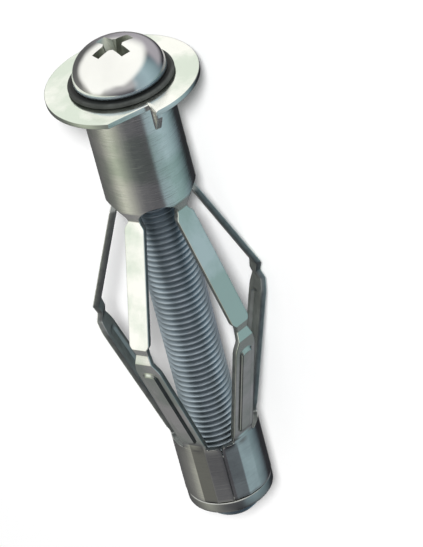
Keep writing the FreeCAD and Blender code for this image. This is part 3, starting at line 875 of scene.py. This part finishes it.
def claw_blade(s, fold):
    """A claw: its outline in the plane of the fold, made as thick as the sheet.

    The outline is carried across the thickness, and drawn in by a small share
    next to both faces, which rounds the blade's edges.
    """
    sheet, long, foot, root = s.sheet * 1000, s.claw * 1000, -0.28, CLAW_ROOT + 0.02
    corners = [
        complex(foot, root), complex(long, root), complex(long, root + 0.28),
        complex(0.46, 7.94), complex(foot, 7.96),
    ]
    start = (corners[0] + corners[-1]) / 2
    radii = [0, 0.04, 0.1, 0.1, 0.3, 0.04, 0]
    loop = bend_line([start, *corners, start], radii, [("shares", [])] * 6, 3)[:-1]
    centre = loop.mean()
    depth = np.array([-0.012, 0.01, 0.06, sheet - 0.06, sheet - 0.01, sheet])
    scale = np.array([0.94, 0.985, 1.0, 1.0, 0.985, 0.94])
    line = centre + (loop[None, :] - centre) * scale[:, None]
    a = math.radians(fold)
    out, beside = line.imag, depth[:, None] + 0 * line.real
    y = out * math.sin(a) + beside * math.cos(a)
    z = out * math.cos(a) - beside * math.sin(a)
    points = np.stack([line.real, y, z], -1).reshape(-1, 3)
    count = len(loop)
    faces = grid_faces(len(depth), count, closed=True).tolist()
    faces.append(list(range(count - 1, -1, -1)))
    faces.append(list(range(count * (len(depth) - 1), count * len(depth))))
    return points, faces


def recess_wing(settings, top, turn):
    """Points and faces of a long wing of the recess, on both sides of the axis.

    It is a bar whose half length falls from the reach at the head's top to that
    of the foot, and whose half width falls a little.
    """
    foot = 0.95
    places = np.array([top - 0.4, top, top + settings.recess * 1000])
    reach = np.array([1.03 * settings.wing_reach * 1000, settings.wing_reach * 1000, foot])
    half = settings.wing * 500 * np.array([1.02, 1.0, 0.82])
    along = np.stack([reach, -reach, -reach, reach], -1)
    beside = np.stack([half, half, -half, -half], -1)
    y = along * math.sin(turn) + beside * math.cos(turn)
    z = along * math.cos(turn) - beside * math.sin(turn)
    points = np.stack([places[:, None] + 0 * y, y, z], -1).reshape(-1, 3)
    return points, grid_faces(3, 4, closed=True).tolist() + [[0, 1, 2, 3], [8, 9, 10, 11]]


def screw_head(settings):
    """Points, faces and marks of the pan head, with its cross recess cut in.

    The head's top is an arc, its side an arc that touches it, and its lower rim
    a quarter of an ellipse. The blank and its cutters are made in millimetres.
    """
    rim, edge = settings.head * 1000, HEAD_SEAT - HEAD_RIM
    between = HEAD_CROWN - HEAD_SIDE
    join = math.asin((rim - HEAD_SIDE) / between)
    crown = edge + between * math.cos(join)
    top = crown - HEAD_CROWN
    a = np.linspace(0, join, 14)
    b = np.linspace(join, math.pi / 2, 16)[1:]
    c = np.linspace(0, math.pi / 2, 7)[1:]
    inset = rim - HEAD_INSET
    arcs = [
        crown - HEAD_CROWN * np.cos(a) + 1j * HEAD_CROWN * np.sin(a),
        edge - HEAD_SIDE * np.cos(b) + 1j * (rim - HEAD_SIDE + HEAD_SIDE * np.sin(b)),
        edge + HEAD_RIM * np.sin(c) + 1j * (inset + HEAD_INSET * np.cos(c)),
        [complex(HEAD_SEAT, 2.0), complex(HEAD_SEAT, 0)],
    ]
    points, faces = turned(np.concatenate(arcs), 112)
    blank = mesh_object("head_blank", points, faces.tolist(), BLANK_MERGE)
    foot, core_top, core_foot = top + settings.recess * 1000, 1.08, 0.6
    core = [
        complex(top - 0.4, 0), complex(top - 0.4, core_top), complex(foot, core_foot),
        complex(foot + 0.3, 0),
    ]
    points, faces = turned(np.array(core), 24)
    tools = [
        mesh_object("wing_a", *recess_wing(settings, top, WING_TURN), BLANK_MERGE),
        mesh_object("wing_b", *recess_wing(settings, top, WING_TURN + math.pi / 2), BLANK_MERGE),
        mesh_object("core", points, faces.tolist(), BLANK_MERGE),
    ]
    for tool in tools:
        cut = blank.modifiers.new(tool.name, "BOOLEAN")
        cut.operation = "DIFFERENCE"
        cut.solver = "EXACT"
        cut.object = tool
    depsgraph = bpy.context.evaluated_depsgraph_get()
    done = bpy.data.meshes.new_from_object(blank.evaluated_get(depsgraph))
    points = np.zeros(len(done.vertices) * 3)
    done.vertices.foreach_get("co", points)
    points = points.reshape(-1, 3)
    faces = [list(polygon.vertices) for polygon in done.polygons]
    for item in [blank] + tools:
        bpy.data.objects.remove(item)
    if len(faces) < 1500:
        raise RuntimeError("The recess was not cut")
    return points, faces, head_marks(points, faces, crown, edge)


def head_marks(points, faces, crown, edge):
    """Marks of the head's faces: the recess, and the lowest part of the rim, which takes the
    darker thread material as painted shade under the head.

    A face near the axis is of the recess when it lies below the crown's arc.
    """
    reach, sunk, dull = 3.0, 0.04, 0.13
    centre = np.array([points[face].mean(axis=0) for face in faces])
    away = np.hypot(centre[:, 1], centre[:, 2])
    dome = crown - np.sqrt(HEAD_CROWN**2 - np.minimum(away, reach) ** 2)
    recess = (away < reach) & (centre[:, 0] > dome + sunk)
    # Painted shade: faces of the rim's lowest band get the darker thread material
    low = centre[:, 0] > edge - dull
    return np.where(low, THREAD, np.where(recess, RECESS, HEAD)).tolist()


def screw_shank(settings):
    """Points and faces of the threaded shank, from inside the head to its bevelled tip.

    Next to the head the thread runs out into a plain neck.
    """
    start, bevel, neck, run_out = HEAD_SEAT - 0.1, 0.45, 0.5, 1.2
    place, turn, radius = thread_grid(start, SCREW_TIP, settings, 56)
    crest = settings.crest * 1000
    radius = np.minimum(radius, crest - bevel + (SCREW_TIP - place))
    cut = np.clip((place - HEAD_SEAT - neck) / run_out, 0, 1)
    radius = radius + (crest - 0.2 - radius) * (1 - cut)
    pole = np.zeros((1, place.shape[1]))
    place = np.concatenate([pole + start, place, pole + SCREW_TIP])
    radius = np.concatenate([pole, radius, pole])
    turn = np.concatenate([turn[:1], turn, turn[:1]])
    points = around(place, radius, turn).reshape(-1, 3)
    return points, kept_faces(points, grid_faces(*place.shape)).tolist()


class ANCHOR_OT_sleeve(bpy.types.Operator):
    """Makes the sleeve: flange, claws, collars and five legs from one sheet"""

    bl_idname = "anchor.make_sleeve"
    bl_label = "Sleeve"

    def execute(self, context):
        s = context.scene.anchor_sleeve
        outer, inner = sleeve_lines(s)
        sectors = [sleeve_sector(s, outer, inner, number) for number in range(LEGS)]
        marks = [mark for sector in sectors for mark in sector[2]]
        claws = [claw_blade(s, fold) for fold in CLAW_FOLDS]
        points, faces = joined(*(sector[:2] for sector in sectors), *claws)
        marks += [OUTSIDE] * (len(faces) - len(marks))
        put_mesh(
            "sleeve_sheet", points, faces,
            # The last material is a darker copy of the cut-edge grey, painted shade on the ribs'
            # flanks
            [zinc_sheet(s), shorn_edge(s), inner_skin_painted_shade(s), shorn_edge(s, "rib_flank_painted_shade", 0.5)],
            "anchor", "sleeve", marks,
        )
        return {"FINISHED"}


class ANCHOR_OT_nut(bpy.types.Operator):
    """Makes the cap nut: a threaded body in the collar and a ring at the end"""

    bl_idname = "anchor.make_nut"
    bl_label = "Cap nut"

    def execute(self, context):
        s, screw = context.scene.anchor_nut, context.scene.anchor_screw
        body, ring = s.body * 1000, s.ring * 1000
        bore = screw.crest * 1000 + 0.03
        mouth = bore + s.bevel * 1000
        place, turn, radius = thread_grid(NUT_START, NUT_END, screw, 72)
        radius = np.minimum(radius + s.play * 1000, bore)
        radius = np.maximum(radius, mouth - (place - NUT_START))
        radius = np.maximum(radius, mouth - (NUT_END - place))
        step = SLEEVE_END + 0.16
        corners = [
            complex(NUT_START, mouth), complex(NUT_START, body), complex(step, body),
            complex(step, ring), complex(NUT_END, ring), complex(NUT_END, mouth),
        ]
        outline = bend_line(corners, [0, 0.2, 0.03, 0.16, 0.34, 0], [("shares", [])] * 5, 6)
        count = place.shape[1]
        line = np.broadcast_to(outline[:, None], (len(outline), count))
        turns = np.broadcast_to(turn[:1], line.shape)
        outside = around(line.real, line.imag, turns).reshape(-1, 3)
        inside = around(place, radius, turn).reshape(-1, 3)
        points, faces = joined(
            (outside, kept_faces(outside, grid_faces(len(outline), count)).tolist()),
            (inside, kept_faces(inside, grid_faces(len(place), count)).tolist()),
        )
        put_mesh("nut_turned", points, faces, [zinc_nut(s)], "anchor", "cap_nut")
        return {"FINISHED"}


class ANCHOR_OT_washer(bpy.types.Operator):
    """Makes the dark washer"""

    bl_idname = "anchor.make_washer"
    bl_label = "Washer"

    def execute(self, context):
        s = context.scene.anchor_washer
        low, high, rim, hole = HEAD_SEAT, FLANGE_TOP, s.rim * 1000, s.hole * 1000
        middle = complex((low + high) / 2, hole)
        corners = [
            middle, complex(low, hole), complex(low, rim), complex(high, rim),
            complex(high, hole), middle,
        ]
        radii = [0, 0.08, s.rounding * 1000, s.rounding * 1000, 0.08, 0]
        outline = bend_line(corners, radii, [("shares", [])] * 5, 6)
        points, faces = turned(outline, 112)
        put_mesh(
            "washer_disc", points, faces.tolist(), [dark_washer(s)], "washer_ring", "washer",
        )
        return {"FINISHED"}


class ANCHOR_OT_screw(bpy.types.Operator):
    """Makes the screw: pan head with its cross recess, and threaded shank"""

    bl_idname = "anchor.make_screw"
    bl_label = "Screw"

    def execute(self, context):
        s = context.scene.anchor_screw
        *head, marks = screw_head(s)
        points, faces = joined(head, screw_shank(s))
        marks += [THREAD] * (len(faces) - len(marks))
        put_mesh(
            "screw_threaded", points, faces, [bright_head(s), recess_metal_painted_shade(s), rolled_thread(s)],
            "driven_screw", "screw", marks,
        )
        return {"FINISHED"}


# The room that the metal mirrors, by the turn from +Z towards +Y in parts of a full
# one, starting opposite +Z: the dark below, a warm wall, a dark opening, a cool wall
ROOM_BANDS = [
    (0.0, (0.03, 0.03, 0.035)),
    (0.045, (0.03, 0.03, 0.035)),
    (0.075, (0.12, 0.12, 0.12)),
    (0.2, (0.12, 0.12, 0.12)),
    (0.3, (0.2, 0.2, 0.19)),
    (0.4, (0.56, 0.565, 0.485)),
    (0.5, (0.2, 0.2, 0.2)),
    (0.54, (0.11, 0.11, 0.12)),
    (0.655, (0.1, 0.1, 0.11)),
    (0.68, (0.29, 0.37, 0.405)),
    (0.77, (0.35, 0.465, 0.505)),
    (0.84, (0.26, 0.36, 0.39)),
    (0.905, (0.13, 0.175, 0.2)),
    (0.945, (0.03, 0.03, 0.035)),
]

# The same for the far end of the room, past the nut
FAR_BANDS = [
    (0.0, (0.05, 0.05, 0.05)),
    (0.147, (0.11, 0.11, 0.11)),
    (0.317, (0.225, 0.223, 0.23)),
    (0.5, (0.26, 0.26, 0.25)),
    (0.56, (0.2, 0.2, 0.2)),
    (0.611, (0.03, 0.03, 0.035)),
    (0.708, (0.03, 0.03, 0.035)),
    (0.8, (0.15, 0.16, 0.165)),
    (0.883, (0.24, 0.245, 0.265)),
    (0.96, (0.08, 0.08, 0.09)),
]


def room_material():
    """The mirrored room: white in front of the head, banded walls, darker past the nut.

    x, y and z are those of the direction. White gives way to the bands as
    x + 0.45 y - 0.35 z rises, and sooner at one side and overhead.
    """
    look = Surface("room")
    way = look.node("ShaderNodeVectorMath", {0: look.place})
    way.operation = "NORMALIZE"
    x, y, z = look.parts(way.outputs[0])
    turn = look.math("ARCTAN2", y, z)
    share = look.math("ADD", look.math("DIVIDE", turn, 2 * math.pi), 0.5)
    bands = look.ramp(share, ROOM_BANDS)
    beside = look.math("MULTIPLY", look.spread(y, -0.6, -0.88), 0.34)
    over = look.math(
        "MULTIPLY", look.spread(y, -0.4, -0.1), look.spread(z, 0.75, 0.95), 0.22
    )
    lean = look.math(
        "ADD", x, look.math("MULTIPLY", y, 0.45), look.math("MULTIPLY", z, -0.35), beside, over
    )
    under = look.math("MULTIPLY", look.spread(z, -0.65, -0.88), look.spread(x, 0.3, -0.05))
    bands = look.blend(under, bands, (0.4, 0.38, 0.41))
    ahead = look.math(
        "MULTIPLY", look.spread(x, 0.35, -0.05), look.spread(z, 0.25, 0.6), 0.4
    )
    bands = look.blend(ahead, bands, (0.95, 0.93, 0.93))
    white = (1.06, 1.06, 1.01)
    banded = look.blend(look.spread(lean, -0.45, -0.05), white, bands)
    far = look.ramp(share, FAR_BANDS)
    tone = look.blend(look.spread(x, 0.62, 0.8), banded, far)
    glow = look.node("ShaderNodeEmission", {"Color": tone})
    look.give(look.nodes["Material Output"].inputs["Surface"], glow.outputs[0])
    return look.material


def put_stage_object(name, mesh, material):
    """An object of the stage that carries a material."""
    item = bpy.data.objects.new(name, mesh)
    bpy.context.scene.collection.objects.link(item)
    mesh.materials.append(material)
    return item


def put_floor(settings):
    """A plain pale floor under the anchor."""
    mesh = bpy.data.meshes.new("floor")
    wide, level = 4.0, FLOOR / 1000
    corners = [(-wide, -wide), (wide, -wide), (wide, wide), (-wide, wide)]
    mesh.from_pydata([(x, y, level) for x, y in corners], [], [[0, 1, 2, 3]])
    paper = Surface("paper_floor")
    paper.give(paper.shader["Specular IOR Level"], 0.0)
    floor = put_stage_object("floor", mesh, paper.finish(settings.floor, 0.9, 0.0))
    floor.visible_glossy = False


def put_room():
    """The room round the stage, which only the metal mirrors."""
    mesh = bpy.data.meshes.new("room")
    work = bmesh.new()
    bmesh.ops.create_uvsphere(work, u_segments=48, v_segments=24, radius=1.5)
    work.to_mesh(mesh)
    work.free()
    room = put_stage_object("room", mesh, room_material())
    room.visible_camera = False
    room.visible_diffuse = False
    room.visible_shadow = False
    room.visible_transmission = False


def put_world(scene, settings):
    """White where the camera, a mirror or a glass sees it, and a soft light elsewhere."""
    scene.world = bpy.data.worlds.new("studio")
    sky = Tree(scene.world)
    path = sky.nodes.new("ShaderNodeLightPath").outputs
    rays = [path[kind] for kind in ("Is Camera Ray", "Is Glossy Ray", "Is Transmission Ray")]
    seen = sky.math("MINIMUM", sky.math("ADD", *rays), 1.0)
    values = {"Value": seen, "To Min": settings.surround, "To Max": 1.0}
    strength = sky.node("ShaderNodeMapRange", values).outputs["Result"]
    background = sky.nodes["Background"].inputs
    sky.give(background["Strength"], strength)
    sky.give(background["Color"], (1, 1, 1))


def put_lamp(scene, settings):
    """One soft lamp beside the camera, on the side of the head."""
    lamp = bpy.data.lights.new("soft_key", "AREA")
    lamp.shape = "DISK"
    lamp.size = 0.17
    lamp.energy = settings.key
    key = bpy.data.objects.new("soft_key", lamp)
    scene.collection.objects.link(key)
    key.location = (-0.686, 0.504, 0.8)
    aim = Vector((0.025, 0, 0)) - key.location
    key.rotation_euler = aim.to_track_quat("-Z", "Y").to_euler()
    key.visible_glossy = False


def put_camera(scene, settings):
    """The camera at the angle of the photograph."""
    lens = bpy.data.cameras.new("photo_view")
    lens.lens = settings.lens
    lens.sensor_width = 36
    lens.sensor_fit = "HORIZONTAL"
    lens.clip_start = 0.01
    lens.clip_end = 20
    camera = bpy.data.objects.new("photo_view", lens)
    scene.collection.objects.link(camera)
    right = Vector((0.20793274, 0.87113038, -0.44485484))
    down = Vector((0.79312785, 0.11601383, 0.59790384))
    forward = Vector((0.57246151, -0.47715055, -0.6667947))
    place = Matrix((right, -down, -forward)).transposed().to_4x4()
    place.translation = Vector((-0.18961109, 0.18228155, 0.24819102))
    camera.matrix_world = place
    scene.camera = camera


class ANCHOR_OT_stage(bpy.types.Operator):
    """Sets up the floor, the soft light, the mirrored room and the camera"""

    bl_idname = "anchor.make_stage"
    bl_label = "Stage"

    def execute(self, context):
        scene, s = context.scene, context.scene.anchor_stage
        scene.view_settings.view_transform = "Standard"
        put_floor(s)
        put_room()
        put_world(scene, s)
        put_lamp(scene, s)
        put_camera(scene, s)
        return {"FINISHED"}


class ANCHOR_PT_panel(bpy.types.Panel):
    """Lists the anchor's pieces and its stage"""

    bl_label = "Hollow wall anchor"
    bl_idname = "ANCHOR_PT_panel"
    bl_space_type = "VIEW_3D"
    bl_region_type = "UI"
    bl_category = "Anchor"

    def draw(self, context):
        for item in OPERATORS:
            self.layout.operator(item.bl_idname)


SETTINGS = {
    "anchor_sleeve": SleeveSettings,
    "anchor_nut": NutSettings,
    "anchor_washer": WasherSettings,
    "anchor_screw": ScrewSettings,
    "anchor_stage": StageSettings,
}
OPERATORS = (
    ANCHOR_OT_stage,
    ANCHOR_OT_sleeve,
    ANCHOR_OT_nut,
    ANCHOR_OT_washer,
    ANCHOR_OT_screw,
)


def register():
    """Registers every class and hangs the settings on the scene."""
    for item in (*SETTINGS.values(), *OPERATORS, ANCHOR_PT_panel):
        bpy.utils.register_class(item)
    for name, group in SETTINGS.items():
        setattr(bpy.types.Scene, name, bpy.props.PointerProperty(type=group))


def unregister():
    """Takes the settings and the classes away again."""
    for name in SETTINGS:
        delattr(bpy.types.Scene, name)
    for item in (ANCHOR_PT_panel, *reversed(OPERATORS), *reversed(tuple(SETTINGS.values()))):
        bpy.utils.unregister_class(item)


def main():
    """Makes the stage and every piece."""
    register()
    bpy.ops.anchor.make_stage()
    bpy.ops.anchor.make_sleeve()
    bpy.ops.anchor.make_nut()
    bpy.ops.anchor.make_washer()
    bpy.ops.anchor.make_screw()


if __name__ == "__main__":
    main()
